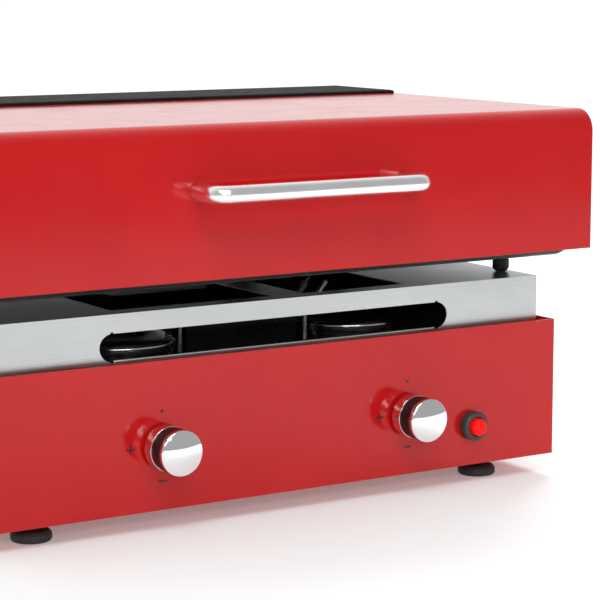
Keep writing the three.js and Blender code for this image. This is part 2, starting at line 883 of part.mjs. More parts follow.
function lidShell() {
  const profile = (inset) => {
    const front = hoodFrontY + inset;
    const top = hoodTopZ - inset;
    const radius = lidBendRadius - inset;
    return arcPoints(hoodFrontY + lidBendRadius, hoodTopZ - lidBendRadius, radius, Math.PI, Math.PI / 2, 8)
      .map(([y, z]) => [Math.max(y, front), Math.min(z, top)]);
  };
  const outline = (inset, rear, bottom) => [
    [hoodFrontY + inset, bottom],
    ...profile(inset),
    [rear, hoodTopZ - inset],
    [rear, bottom],
  ];
  const outer = prismX(outline(0, lidRearY, hoodBottomZ), -hoodHalf, hoodHalf);
  const inner = prismX(
    outline(hoodSheet, lidRearY + overcut, hoodBottomZ - overcut),
    -hoodHalf + hoodSheet, hoodHalf - hoodSheet,
  );
  const screwHoles = sides.map(([, sign]) => cylinderY(
    handleScrewRadius + gap, sign * handleSpan / 2, hoodFrontY - overcut, hoodFrontY + hoodSheet + overcut, handleZ, 16,
  ));
  return cut(outer, inner, ...screwHoles);
}

function rearCowl() {
  const top = hoodTopZ + cowlRise;
  const sideY = lidRearY + gap + hingeClearance;
  const topY = lidRearY + cowlTopSetback;
  const outer = box(-hoodHalf, hoodHalf, sideY, hoodRearY, hoodBottomZ, top);
  const inner = box(
    -hoodHalf + hoodSheet, hoodHalf - hoodSheet,
    sideY - overcut, hoodRearY - hoodSheet,
    hoodBottomZ - overcut, top - hoodSheet,
  );
  const hingeRoom = box(-hoodHalf - overcut, hoodHalf + overcut, sideY - overcut, topY, hingeZ, top + overcut);
  const lidEdgeReach = Math.hypot(hingeY - lidRearY, hoodTopZ - hingeZ) + 2 * gap;
  const lidSweep = cylinderX(lidEdgeReach, -hoodHalf - overcut, hoodHalf + overcut, hingeY, hingeZ, 32);
  return cut(outer, inner, hingeRoom, lidSweep);
}

function hingeBarrel() {
  const half = hoodHalf - hoodSheet - 2 * gap - knuckleLength - gap;
  const tube = cylinderX(hingeRadius, -half, half, hingeY, hingeZ);
  const leafTop = hoodTopZ + cowlRise - hoodSheet - gap;
  const leaf = box(-half, half, hingeY, hingeY + hingeLeafDepth, leafTop - hingeLeafThickness, leafTop);
  const bore = cylinderX(hingePinRadius + gap, -half - overcut, half + overcut, hingeY, hingeZ, 16);
  return cut(join(tube, leaf), bore);
}

function hingeKnuckle(sign) {
  const outerEnd = hoodHalf - hoodSheet - 2 * gap;
  const centreX = sign * (outerEnd - knuckleLength / 2);
  const x0 = centreX - knuckleLength / 2;
  const x1 = centreX + knuckleLength / 2;
  const tube = cylinderX(hingeRadius, x0, x1, hingeY, hingeZ);
  const leafTop = hoodTopZ - hoodSheet - gap;
  const leaf = box(x0, x1, hingeY - hingeLeafDepth, hingeY, leafTop - hingeLeafThickness, leafTop);
  const bore = cylinderX(hingePinRadius + gap, x0 - overcut, x1 + overcut, hingeY, hingeZ, 16);
  return cut(join(tube, leaf), bore);
}

function hingePin() {
  const half = hoodHalf - hoodSheet - 3 * gap;
  return cylinderX(hingePinRadius, -half, half, hingeY, hingeZ, 12);
}

function hoodBracket(sign) {
  const rear = hoodRearY - hoodSheet - gap;
  const stepZ = plateZ - bracketStepDrop;
  const x = sign * bracketX;
  const outline = sheetOutline([
    [baseDepth + gap + bracketSheet, baseHeight - bracketFootDrop],
    [baseDepth + gap + bracketSheet, stepZ],
    [rear, stepZ],
    [rear, stepZ + bracketHeadRise],
  ], bracketSheet);
  return prismX(outline, x - bracketWidth / 2, x + bracketWidth / 2);
}

function lidHandle() {
  const half = handleSpan / 2;
  const faceY = hoodFrontY - gap;
  const bend = handleBendRadius;
  const at = (x, y) => new THREE.Vector3(x, y, handleZ);
  const corner = (sign) => {
    const points = Array.from({ length: 7 }, (_, i) => {
      const angle = i / 6 * Math.PI / 2;
      return at(sign * (half - bend + bend * Math.cos(angle)), handleBarY + bend - bend * Math.sin(angle));
    });
    return sign > 0 ? points : points.reverse();
  };
  const stops = [at(half, faceY), ...corner(1), ...corner(-1), at(-half, faceY)];
  return sweptPolyline(stops, handleTubeRadius, 16);
}

function handleScrew(sign) {
  const x = sign * handleSpan / 2;
  const inside = hoodFrontY + hoodSheet + gap;
  const head = cylinderY(handleScrewHeadRadius, x, inside, inside + 4, handleZ, 20);
  const shank = cylinderY(handleScrewRadius, x, hoodFrontY, inside + 1, handleZ, 12);
  return join(head, shank);
}

// ---------------------------------------------------------------- assembly

add('base_shell', baseShell(), 'redPaint');
for (const { name, x, y } of footPlaces()) {
  add(`foot_${name}`, foot().translate(x, y, 0), 'rubber');
  add(`foot_nut_${name}`, footNut().translate(x, y, 0), 'zincSteel');
}
add('burner_frame', burnerFrame(), 'brushedSteel');
add('heat_shield', heatShield(), 'enamel');
add('drip_tray', dripTray(), 'enamel');

for (const [side, sign] of sides) {
  add(`burner_${side}`, burner(sign), 'burnerSteel');
  add(`gas_valve_${side}`, gasValve(sign * knobX), 'aluminium');
  add(`injector_${side}`, injector(sign * knobX), 'brass');
}
for (const { name, x, y } of headPlaces()) {
  add(`burner_cap_${name}`, burnerCap(x, y), 'burnerSteel');
}
add('gas_pipe', gasPipe(), 'aluminium');
add('gas_inlet', gasInlet(), 'brass');
for (const { side, sign, electrodeX, probeX } of rodPlaces()) {
  add(`electrode_${side}`, electrode(electrodeX, sign), 'ceramic');
  add(`flame_probe_${side}`, flameProbe(probeX, sign), 'zincSteel');
}

for (const [side, sign] of sides) {
  add(`knob_collar_${side}`, knobCollar(sign * knobX), 'zincSteel');
  add(`knob_stem_${side}`, knobStem(sign * knobX), 'zincSteel');
  add(`knob_skirt_${side}`, knobSkirt(sign * knobX), 'chrome');
  add(`knob_grip_${side}`, knobGrip(sign * knobX), 'gripPlastic');
  add(`knob_cap_${side}`, knobCap(sign * knobX), 'chrome');
}
add('igniter_bezel', igniterBezel(), 'bezelPlastic');
add('igniter_nut', igniterNut(), 'zincSteel');
add('igniter_button', igniterButton(), 'redPlastic');
add('igniter_piezo', piezoBody(), 'gripPlastic');

add('griddle_plate', griddlePlate(), 'enamel');
for (const [end, isRear] of ends) {
  for (const [side, sign] of sides) {
    const x = sign * (baseWidth / 2 - postInsetX);
    const y = isRear ? baseDepth - postInsetY : postInsetY;
    add(`plate_post_${end}_${side}`, platePost(x, y), 'rubber');
  }
}

add('lid_shell', lidShell(), 'redPaint');
add('lid_handle', lidHandle(), 'chrome');
add('rear_cowl', rearCowl(), 'blackPaint');
add('hinge_barrel', hingeBarrel(), 'blackPaint');
add('hinge_pin', hingePin(), 'zincSteel');
for (const [side, sign] of sides) {
  add(`handle_screw_${side}`, handleScrew(sign), 'zincSteel');
  add(`hinge_knuckle_${side}`, hingeKnuckle(sign), 'blackPaint');
  add(`hood_bracket_${side}`, hoodBracket(sign), 'blackPaint');
}

grill.position.set(0, -(handleFrontY + hoodRearY) / 2, footHeight);

export default grill;
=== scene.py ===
"""Looks of a table-top gas griddle barbecue with a red hinged hood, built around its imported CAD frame."""

import json
import math

import bmesh
import bpy
from mathutils import Matrix, Vector


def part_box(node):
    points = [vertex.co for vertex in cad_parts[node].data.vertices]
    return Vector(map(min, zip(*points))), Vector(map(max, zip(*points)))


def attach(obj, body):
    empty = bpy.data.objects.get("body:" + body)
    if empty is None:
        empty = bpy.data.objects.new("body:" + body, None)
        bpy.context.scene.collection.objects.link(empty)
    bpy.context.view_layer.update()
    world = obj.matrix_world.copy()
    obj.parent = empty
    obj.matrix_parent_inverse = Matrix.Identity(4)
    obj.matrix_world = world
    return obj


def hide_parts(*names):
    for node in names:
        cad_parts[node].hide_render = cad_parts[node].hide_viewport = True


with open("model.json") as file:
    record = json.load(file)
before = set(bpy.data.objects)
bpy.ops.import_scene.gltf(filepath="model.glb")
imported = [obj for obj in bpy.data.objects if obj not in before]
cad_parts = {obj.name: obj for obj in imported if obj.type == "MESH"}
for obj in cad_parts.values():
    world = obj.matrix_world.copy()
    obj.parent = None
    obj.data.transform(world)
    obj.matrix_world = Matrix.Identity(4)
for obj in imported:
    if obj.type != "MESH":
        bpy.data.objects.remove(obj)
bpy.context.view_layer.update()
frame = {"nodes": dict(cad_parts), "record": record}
MM = 0.001
SIDES = ("left", "right")
ENDS = ("front", "rear")


# ---------------------------------------------------------------- sizes read from the frame


def centre(node):
    lo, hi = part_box(node)
    return (lo + hi) / 2


BASE_LO, BASE_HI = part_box("base_shell")
BAND_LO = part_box("burner_frame")[0]
LID_LO, LID_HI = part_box("lid_shell")
COWL_LO, COWL_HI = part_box("rear_cowl")
PLATE_LO, PLATE_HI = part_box("griddle_plate")
BASE_HEIGHT = BASE_HI.z - BASE_LO.z
FLOOR_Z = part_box("foot_front_left")[0].z

SHEET = 1.5 * MM
LID_BEND = 21.5 * MM
COWL_TOP_SETBACK = 8.4 * MM
LID_EDGE = 2.1 * MM
CUT_EDGE = 0.25 * MM
SMOOTH_ANGLE = math.radians(38)
COWL_EDGE = 1.9 * MM
COWL_BEND = 6 * MM
COWL_STEP_GAP = 2 * MM
HANDLE_BEND = 12 * MM

FOOT_NECK = 7.8 * MM
FOOT_STUD = 3 * MM
FOOT_CLEARANCE = 0.3 * MM

KNOB_DOME = 4 * MM
KNOB_SKIRT_LENGTH = 12.8 * MM
KNOB_SKIRT_HUB = 12 * MM
KNOB_RING_HUB = 12.4 * MM
KNOB_STEM = 4.3 * MM
KNOB_WALL = 2.5 * MM
KNOB_HOLLOW = 4 * MM

BEZEL_BORE = 8.5 * MM
BEZEL_SLEEVE = 10.6 * MM

LIP_RADIUS = 1.6 * MM
LIP_HALF = 172.5 * MM
LIP_HEIGHT = 135.5 * MM

# The camera, in base heights from the base's front right lower corner
CAMERA_OFFSET = Vector((-9.957, -12.338, 3.5045))
CAMERA_DOWN = 8.55
CAMERA_TURN = -32.18
CAMERA_LENS = 131.0
FLOOR_HALF = 2.2

# The lights, in metres and watts
LIGHT_TARGET = Vector((0, 0, 0.2))
KEY_PLACE = (1.7, 1.6, 2.4)
KEY_POWER = 60
FRONT_PLACE = (-0.9, -2.2, 2.7)
FRONT_POWER = 42
WINDOW_COUNT = 4
WINDOW_FIRST_X = -1.9
WINDOW_PITCH = 0.55
WINDOW_POWER = 5


# ---------------------------------------------------------------- node helpers


class Look:
    """A procedural material under construction: a Principled shader and the textures that feed it."""

    def __init__(self, name, **constants):
        self.material = bpy.data.materials.new(name)
        self.material.use_nodes = True
        self.nodes = self.material.node_tree.nodes
        self.links = self.material.node_tree.links
        self.shader = next(n for n in self.nodes if n.type == "BSDF_PRINCIPLED")
        self.place = self.nodes.new("ShaderNodeTexCoord").outputs["Object"]
        for socket, value in constants.items():
            self.shader.inputs[socket.replace("_", " ")].default_value = value

    def add(self, kind, **inputs):
        node = self.nodes.new("ShaderNode" + kind)
        for socket, value in inputs.items():
            self.feed(node.inputs[socket.replace("_", " ")], value)
        return node

    def feed(self, socket, value):
        if isinstance(value, bpy.types.NodeSocket):
            self.links.new(value, socket)
        else:
            socket.default_value = value

    def noise(self, scale, detail=3.0, roughness=0.55, stretch=(1, 1, 1), turn=(0, 0, 0)):
        place = self.add("Mapping", Vector=self.place, Scale=stretch, Rotation=turn)
        made = self.add(
            "TexNoise", Vector=place.outputs[0], Scale=scale, Detail=detail, Roughness=roughness
        )
        return made.outputs[0]

    def cells(self, scale):
        return self.add("TexVoronoi", Vector=self.place, Scale=scale)

    def span(self, source, low, high, source_low=0.3, source_high=0.7):
        made = self.add("MapRange", Value=source)
        made.inputs["From Min"].default_value = source_low
        made.inputs["From Max"].default_value = source_high
        made.inputs["To Min"].default_value = low
        made.inputs["To Max"].default_value = high
        return made.outputs[0]

    def tint(self, source, *stops):
        """A colour ramp through (position, (r, g, b)) stops."""
        made = self.add("ValToRGB", Fac=source)
        elements = made.color_ramp.elements
        while len(elements) < len(stops):
            elements.new(0.5)
        for element, (position, colour) in zip(elements, stops):
            element.position = position
            element.color = (*colour, 1)
        return made.outputs[0]

    def blend(self, share, first, second):
        made = self.add("Mix")
        made.data_type = "RGBA"
        self.feed(made.inputs[0], share)
        self.feed(made.inputs[6], first)
        self.feed(made.inputs[7], second)
        return made.outputs[2]

    def colour(self, source):
        self.feed(self.shader.inputs["Base Color"], source)
        return self

    def rough(self, source):
        self.feed(self.shader.inputs["Roughness"], source)
        return self

    def bump(self, source, strength, distance_mm):
        made = self.add("Bump", Height=source, Strength=strength)
        made.inputs["Distance"].default_value = distance_mm * MM
        normal = self.shader.inputs["Normal"]
        if normal.is_linked:
            self.links.new(normal.links[0].from_socket, made.inputs["Normal"])
        self.links.new(made.outputs[0], normal)
        return self


def mottled(name, dark, light, scale, rough, rough_scale, **constants):
    """A look whose colour and roughness both wander a little."""
    look = Look(name, **constants)
    look.colour(look.tint(look.noise(scale), (0.35, dark), (0.65, light)))
    look.rough(look.span(look.noise(rough_scale), *rough))
    return look


# ---------------------------------------------------------------- finishes


def red_paint():
    look = mottled(
        "red_paint", (0.47, 0.0045, 0.0055), (0.50, 0.0062, 0.0072), 9, (0.10, 0.15), 22,
        IOR=1.4,
    )
    look.bump(look.noise(320, detail=1), 0.05, 0.05)
    look.bump(look.noise(1500, detail=2), 0.03, 0.01)
    return look


def black_paint():
    look = mottled(
        "black_paint", (0.006, 0.006, 0.006), (0.012, 0.012, 0.011), 30, (0.50, 0.60), 60,
        IOR=1.4, Specular_IOR_Level=0.05,
    )
    look.bump(look.noise(2600, detail=2), 0.25, 0.03)
    return look


def enamel():
    look = Look("enamel", IOR=1.45, Specular_IOR_Level=0.25)
    speckle = look.cells(1400).outputs["Distance"]
    look.colour(look.tint(speckle, (0.02, (0.035, 0.036, 0.038)), (0.12, (0.009, 0.0095, 0.010))))
    look.rough(look.span(look.noise(45), 0.24, 0.36))
    look.bump(look.noise(260, detail=2), 0.12, 0.05)
    return look


def brushed(name, dark, light, rough, grain_scale, **constants):
    """Steel with its grain along X on faces that look along Y or Z, and along Y on the end faces."""
    look = Look(name, Metallic=1.0, **constants)
    facing = look.nodes.new("ShaderNodeNewGeometry").outputs["Normal"]
    parts = look.add("SeparateXYZ", Vector=facing)
    sideways = look.add("Math", Value=parts.outputs["X"])
    sideways.operation = "ABSOLUTE"
    end_face = look.span(sideways.outputs[0], 0, 1, 0.6, 0.8)
    along_x = look.noise(grain_scale, 5, 0.7, stretch=(0.012, 1, 1))
    along_y = look.noise(grain_scale, 5, 0.7, stretch=(1, 0.012, 1))
    grain = look.add("Mix")
    look.feed(grain.inputs[0], end_face)
    look.feed(grain.inputs[2], along_x)
    look.feed(grain.inputs[3], along_y)
    streak = grain.outputs[0]
    cloud = look.noise(14, 3, 0.6, stretch=(0.5, 1, 1))
    fine = look.tint(streak, (0.3, dark), (0.7, light))
    smoky = look.tint(cloud, (0.3, (0.90, 0.90, 0.91)), (0.7, (1, 1, 1)))
    mixed = look.blend(1.0, fine, smoky)
    mixed.node.blend_type = "MULTIPLY"
    look.colour(mixed)
    look.rough(look.span(streak, *rough))
    look.bump(streak, 0.10, 0.02)
    return look


def brushed_steel():
    return brushed("brushed_steel", (0.56, 0.56, 0.565), (0.68, 0.68, 0.68), (0.24, 0.42), 900)


# Painted highlight: the band's own steel made lighter, so the rolled lip reads bright as if lit from above.
def rolled_edge_painted_highlight():
    return brushed("rolled_edge_painted_highlight", (0.74, 0.74, 0.74), (0.84, 0.84, 0.84), (0.16, 0.30), 900)


def burner_steel():
    look = Look("burner_steel", Metallic=1.0)
    heat = look.noise(26, 4, 0.6)
    look.colour(look.tint(
        heat, (0.3, (0.52, 0.52, 0.53)), (0.55, (0.66, 0.66, 0.66)), (0.75, (0.58, 0.54, 0.49))
    ))
    look.rough(look.span(look.noise(180, 3, 0.6), 0.10, 0.22))
    look.bump(look.noise(700, 3), 0.06, 0.02)
    return look


def chrome():
    look = mottled(
        "chrome", (0.84, 0.84, 0.85), (0.89, 0.89, 0.90), 25, (0.025, 0.06), 70, Metallic=1.0,
    )
    look.bump(look.noise(200, 2), 0.02, 0.02)
    return look


def handle_chrome_painted_sheen():
    # A rougher satin chrome, with a base lighter than the knob chrome as painted sheen on the handle.
    look = mottled(
        "handle_chrome_painted_sheen", (0.93, 0.93, 0.94), (0.97, 0.97, 0.97), 25, (0.20, 0.26), 70, Metallic=1.0,
    )
    look.bump(look.noise(200, 2), 0.02, 0.02)
    return look


def metal(name, dark, light, rough, scale, bump):
    look = mottled(name, dark, light, scale, rough, scale * 3, Metallic=1.0)
    look.bump(look.noise(scale * 30, 3), bump, 0.03)
    return look


def brass():
    return metal("brass", (0.50, 0.35, 0.13), (0.64, 0.47, 0.20), (0.24, 0.40), 40, 0.15)


def aluminium():
    return metal("aluminium", (0.48, 0.49, 0.50), (0.60, 0.61, 0.62), (0.35, 0.50), 60, 0.35)


def zinc_steel():
    look = Look("zinc_steel", Metallic=1.0)
    spangle = look.cells(420).outputs["Color"]
    grey = look.add("RGBToBW", Color=spangle).outputs[0]
    look.colour(look.tint(grey, (0.2, (0.36, 0.37, 0.38)), (0.8, (0.50, 0.51, 0.52))))
    look.rough(look.span(grey, 0.30, 0.48, 0.2, 0.8))
    look.bump(look.noise(900, 2), 0.1, 0.02)
    return look


def rubber():
    look = mottled(
        "rubber", (0.020, 0.021, 0.023), (0.032, 0.034, 0.036), 90, (0.55, 0.72), 140, IOR=1.5,
    )
    look.bump(look.noise(1800, 3), 0.3, 0.05)
    return look


def plastic(name, dark, light, rough, grain, **constants):
    look = mottled(name, dark, light, 60, rough, 160, IOR=1.49, **constants)
    look.bump(look.noise(2400, 2), grain, 0.03)
    return look


def grip_plastic():
    return plastic("grip_plastic", (0.006, 0.005, 0.005), (0.012, 0.009, 0.009), (0.30, 0.42), 0.3)


def bezel_plastic():
    return plastic("bezel_plastic", (0.036, 0.036, 0.037), (0.048, 0.048, 0.049), (0.42, 0.55), 0.35)


def red_plastic():
    return plastic(
        "red_plastic", (0.86, 0.002, 0.002), (0.95, 0.006, 0.006), (0.40, 0.48), 0.1, Specular_IOR_Level=0.2,
        # Painted glow: the button gives off a faint red light of its own, though it is no lamp.
        Emission_Color=(1.0, 0.0, 0.0, 1), Emission_Strength=0.25,
    )


def ceramic():
    # Painted shade: the electrode's ceramic is made dark brown because it sits in shade inside the frame.
    look = mottled(
        "ceramic", (0.080, 0.062, 0.050), (0.14, 0.115, 0.095), 120, (0.25, 0.40), 200, IOR=1.55,
    )
    look.bump(look.noise(1600, 3), 0.25, 0.04)
    return look


def mark_ink():
    return mottled(
        "mark_ink", (0.020, 0.001, 0.001), (0.045, 0.003, 0.003), 400, (0.35, 0.5), 600, IOR=1.5,
    )


LOOKS = {
    make.__name__: make().material
    for make in (
        red_paint, black_paint, enamel, brushed_steel, rolled_edge_painted_highlight, burner_steel,
        chrome, handle_chrome_painted_sheen, brass, aluminium, zinc_steel, rubber,
        grip_plastic, bezel_plastic, red_plastic, ceramic, mark_ink,
    )
}


# ---------------------------------------------------------------- mesh helpers


def shade_by_angle():
    """A node group that smooths every face and keeps the edges sharper than SMOOTH_ANGLE."""
    group = bpy.data.node_groups.new("shade_by_angle", "GeometryNodeTree")
    group.interface.new_socket("Geometry", in_out="INPUT", socket_type="NodeSocketGeometry")
    group.interface.new_socket("Geometry", in_out="OUTPUT", socket_type="NodeSocketGeometry")
    start = group.nodes.new("NodeGroupInput")
    end = group.nodes.new("NodeGroupOutput")
    faces = group.nodes.new("GeometryNodeSetShadeSmooth")
    edges = group.nodes.new("GeometryNodeSetShadeSmooth")
    edges.domain = "EDGE"
    angle = group.nodes.new("GeometryNodeInputMeshEdgeAngle")
    sharp = group.nodes.new("FunctionNodeCompare")
    sharp.operation = "LESS_EQUAL"
    sharp.inputs[1].default_value = SMOOTH_ANGLE
    group.links.new(angle.outputs[0], sharp.inputs[0])
    group.links.new(sharp.outputs[0], edges.inputs["Shade Smooth"])
    group.links.new(start.outputs[0], faces.inputs["Geometry"])
    group.links.new(faces.outputs[0], edges.inputs["Geometry"])
    group.links.new(edges.outputs[0], end.inputs[0])
    return group


SHADING = shade_by_angle()


def add_bevel(obj, width, segments=2, angle=30):
    bevel = obj.modifiers.new("edge_round", "BEVEL")
    bevel.width = width
    bevel.segments = segments
    bevel.limit_method = "ANGLE"
    bevel.angle_limit = math.radians(angle)
    bevel.miter_outer = "MITER_ARC"


def add_shading(obj, flatten=True):
    smooth = obj.modifiers.new("shade_by_angle", "NODES")
    smooth.node_group = SHADING
    if flatten:
        weighted = obj.modifiers.new("flat_faces", "WEIGHTED_NORMAL")
        weighted.keep_sharp = True
        weighted.weight = 100


def soften_node(name, width=0.3 * MM, segments=2):
    """Rounds the edges of a CAD node with modifiers only, so that its own mesh stays as packed."""
    obj = frame["nodes"][name]
    weld = obj.modifiers.new("weld", "WELD")
    weld.merge_threshold = 0.00001
    flat = obj.modifiers.new("flat", "DECIMATE")
    flat.decimate_type = "DISSOLVE"
    flat.angle_limit = math.radians(0.5)
    add_bevel(obj, width, segments)
    add_shading(obj)


def put(name, mesh, look, body, replaces=()):
    obj = bpy.data.objects.new(name, mesh)
    bpy.context.scene.collection.objects.link(obj)
    mesh.materials.append(LOOKS[look])
    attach(obj, body)
    if replaces:
        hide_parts(*replaces)
    return obj


def mesh_of(name, points, faces):
    mesh = bpy.data.meshes.new(name)
    mesh.from_pydata([tuple(p) for p in points], [], faces)
    solid = bmesh.new()
    solid.from_mesh(mesh)
    bmesh.ops.recalc_face_normals(solid, faces=solid.faces)
    solid.to_mesh(mesh)
    solid.free()
    return mesh


def rounded(corners, closed=False, steps=4):
    """Rounds the corners of a flat outline. Each corner is (a, b) or (a, b, radius); 0 keeps it sharp."""
    points = []
    count = len(corners)
    for i, corner in enumerate(corners):
        here = Vector(corner[:2])
        reach = corner[2] if len(corner) > 2 else 0
        at_end = not closed and i in (0, count - 1)
        if reach == 0 or at_end:
            points.append(here)
            continue
        before = Vector(corners[i - 1][:2]) - here
        after = Vector(corners[(i + 1) % count][:2]) - here
        reach = min(reach, before.length * 0.49, after.length * 0.49)
        first = here + before.normalized() * reach
        last = here + after.normalized() * reach
        for k in range(steps + 1):
            t = k / steps
            points.append(first * (1 - t) ** 2 + here * 2 * t * (1 - t) + last * t ** 2)
    return points


UP = Matrix.Identity(3)
FORWARD = Matrix(((1, 0, 0), (0, 0, -1), (0, 1, 0)))


def lathe(name, outline, place, turn=UP, segments=96, closed=False):
    """Turns an outline of (radius, height) about an axis through place; turn sends +Z to that axis."""
    rings, points, faces = [], [], []
    for radius, height in outline:
        if radius < 1e-7:
            rings.append([len(points)])
            points.append(Vector((0, 0, height)))
            continue
        rings.append(list(range(len(points), len(points) + segments)))
        for k in range(segments):
            angle = 2 * math.pi * k / segments
            points.append(Vector((radius * math.cos(angle), radius * math.sin(angle), height)))
    pairs = list(zip(rings, rings[1:]))
    if closed:
        pairs.append((rings[-1], rings[0]))
    for low, high in pairs:
        for k in range(segments):
            m = (k + 1) % segments
            if len(low) == 1 and len(high) == 1:
                break
            if len(low) == 1:
                faces.append((low[0], high[m], high[k]))
            elif len(high) == 1:
                faces.append((low[k], low[m], high[0]))
            else:
                faces.append((low[k], low[m], high[m], high[k]))
    return mesh_of(name, [turn @ p + place for p in points], faces)


def tube(name, path, radius, sides=32):
    """A round bar along a path in a plane of constant height."""
    points, faces = [], []
    for i, here in enumerate(path):
        before = path[max(i - 1, 0)]
        after = path[min(i + 1, len(path) - 1)]
        along = (after - before).normalized()
        across = Vector((along.y, -along.x, 0))
        for k in range(sides):
            angle = 2 * math.pi * k / sides
            lift = Vector((0, 0, radius * math.sin(angle)))
            points.append(here + across * radius * math.cos(angle) + lift)
    for ring in range(len(path) - 1):
        for k in range(sides):
            m = (k + 1) % sides
            a, b = ring * sides + k, ring * sides + m
            faces.append((a, b, b + sides, a + sides))
    faces.append(tuple(range(sides)))
    last = (len(path) - 1) * sides
    faces.append(tuple(last + k for k in range(sides)))
    return mesh_of(name, points, faces)


def ring_loft(name, rings, corner_steps=8):
    """A closed solid through rounded rectangles given as (half_x, y0, y1, corner radius, z)."""
    points, faces = [], []
    count = 4 * (corner_steps + 1)
    for half_x, y0, y1, radius, z in rings:
        corners = (
            (half_x - radius, y1 - radius), (-half_x + radius, y1 - radius),
            (-half_x + radius, y0 + radius), (half_x - radius, y0 + radius),
        )
        for quarter, (x, y) in enumerate(corners):
            for k in range(corner_steps + 1):
                angle = (quarter + k / corner_steps) * math.pi / 2
                points.append(Vector((x + radius * math.cos(angle), y + radius * math.sin(angle), z)))
    for ring in range(len(rings) - 1):
        for k in range(count):
            m = (k + 1) % count
            a, b = ring * count + k, ring * count + m
            faces.append((a, b, b + count, a + count))
    last = (len(rings) - 1) * count
    faces.append(tuple(range(count)))
    faces.append(tuple(last + k for k in range(count)))
    return mesh_of(name, points, faces)


def folded_shell(name, profile, half_x, closing):
    """An open sheet skin: the profile of (y, z) points drawn across X, and two end panels.
    closing holds the end panels' remaining corners, after the profile's last point."""
    points, faces = [], []
    for x in (-half_x, half_x):
        points += [Vector((x, y, z)) for y, z in (*profile, *closing)]
    row = len(profile) + len(closing)
    for i in range(len(profile) - 1):
        faces.append((i, i + 1, i + 1 + row, i + row))
    faces.append(tuple(range(row)))
    faces.append(tuple(row + i for i in range(row)))
    mesh = mesh_of(name, points, faces)
    middle = sum(points, Vector()) / len(points)
    outward = sum((f.center - middle).dot(f.normal) * f.area for f in mesh.polygons)
    if outward < 0:
        mesh.flip_normals()
    return mesh


def add_sheet(obj, thickness, edge):
    add_bevel(obj, edge, 4)
    solid = obj.modifiers.new("sheet", "SOLIDIFY")
    solid.thickness = thickness
    solid.offset = -1
    solid.use_even_offset = True
    add_bevel(obj, CUT_EDGE, 1, 60)
    add_shading(obj)


# ---------------------------------------------------------------- hood


def lid():
    bend = [
        (
            LID_LO.y + LID_BEND * (1 - math.cos(a)),
            LID_HI.z - LID_BEND * (1 - math.sin(a)),
        )
        for a in (k / 20 * math.pi / 2 for k in range(21))
    ]
    profile = [(LID_LO.y, LID_LO.z), *bend, (LID_HI.y, LID_HI.z)]
    mesh = folded_shell("lid_skin", profile, LID_HI.x, [(LID_HI.y, LID_LO.z)])
    obj = put("lid_skin", mesh, "red_paint", "lid", ["lid_shell"])
    add_sheet(obj, SHEET, LID_EDGE)


def cowl():
    top = COWL_HI.z
    front = COWL_LO.y + COWL_TOP_SETBACK
    bend = COWL_BEND
    rear = [
        (COWL_HI.y - bend * (1 - math.sin(a)), top - bend * (1 - math.cos(a)))
        for a in (k / 8 * math.pi / 2 for k in range(9))
    ]
    profile = [(front, top), *rear, (COWL_HI.y, COWL_LO.z)]
    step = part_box("hinge_barrel")[0].z - COWL_STEP_GAP
    closing = [(COWL_LO.y, COWL_LO.z), (COWL_LO.y, step), (front, step)]
    mesh = folded_shell("cowl_skin", profile, COWL_HI.x, closing)
    obj = put("cowl_skin", mesh, "black_paint", "base", ["rear_cowl"])
    add_sheet(obj, SHEET, COWL_EDGE)


def handle():
    lo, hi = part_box("lid_handle")
    radius = (hi.z - lo.z) / 2
    z = (hi.z + lo.z) / 2
    half = hi.x - radius
    bar_y = lo.y + radius
    bend = HANDLE_BEND
    right = [
        Vector((half - bend + bend * math.cos(a), bar_y + bend - bend * math.sin(a), z))
        for a in (k / 14 * math.pi / 2 for k in range(15))
    ]
    left = [Vector((-p.x, p.y, p.z)) for p in reversed(right)]
    path = [Vector((half, hi.y, z)), *right, *left, Vector((-half, hi.y, z))]
    obj = put("handle_bar", tube("handle_bar", path, radius, 48), "handle_chrome_painted_sheen", "lid",
              ["lid_handle"])
    add_bevel(obj, 0.5 * MM, 2, 60)
    add_shading(obj, False)


# ---------------------------------------------------------------- griddle plate and its posts


def griddle():
    wall, floor, edge, corner = 3 * MM, 6 * MM, 11 * MM, 16 * MM
    rings = []

    def ring(inset, z, radius):
        rings.append((PLATE_HI.x - inset, PLATE_LO.y + inset, PLATE_HI.y - inset, radius, z))

    steps = 12
    for i in range(steps + 1):
        angle = i / steps * math.pi / 2
        inset = edge * (1 - math.sin(angle))
        ring(inset, PLATE_LO.z + edge * (1 - math.cos(angle)), corner - inset * 0.6)
    lip = 0.8 * MM
    top = PLATE_HI.z
    ring(0, top - lip, corner)
    ring(lip * 0.3, top - lip * 0.3, corner)
    ring(lip, top, corner - lip)
    ring(wall - lip, top, corner - wall + lip)
    ring(wall - lip * 0.3, top - lip * 0.3, corner - wall)
    ring(wall, top - lip, corner - wall)
    basin = PLATE_LO.z + floor
    fillet = 5 * MM
    for i in range(7):
        angle = i / 6 * math.pi / 2
        inset = wall + fillet * (1 - math.cos(angle))
        ring(inset, basin + fillet * (1 - math.sin(angle)), corner - inset)
    mesh = ring_loft("griddle_pan", rings, 10)
    obj = put("griddle_pan", mesh, "enamel", "griddle", ["griddle_plate"])
    add_shading(obj)


def post(node):
    lo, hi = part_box(node)
    radius = (hi.x - lo.x) / 2
    height = hi.z - lo.z
    place = Vector(((lo.x + hi.x) / 2, (lo.y + hi.y) / 2, lo.z))
    outline = rounded([
        (0, 0), (radius - 3 * MM, 0, 0.8 * MM), (radius, 3 * MM, 1.2 * MM),
        (radius, height * 0.55, 0.4 * MM), (radius - 0.7 * MM, height * 0.58, 0.4 * MM),
        (radius - 0.7 * MM, height * 0.66, 0.4 * MM), (radius, height * 0.69, 0.4 * MM),
        (radius, height, 1.0 * MM), (0, height),
    ])
    mesh = lathe(node + "_turned", outline, place, segments=48)
    add_shading(put(node + "_turned", mesh, "rubber", "griddle", [node]))


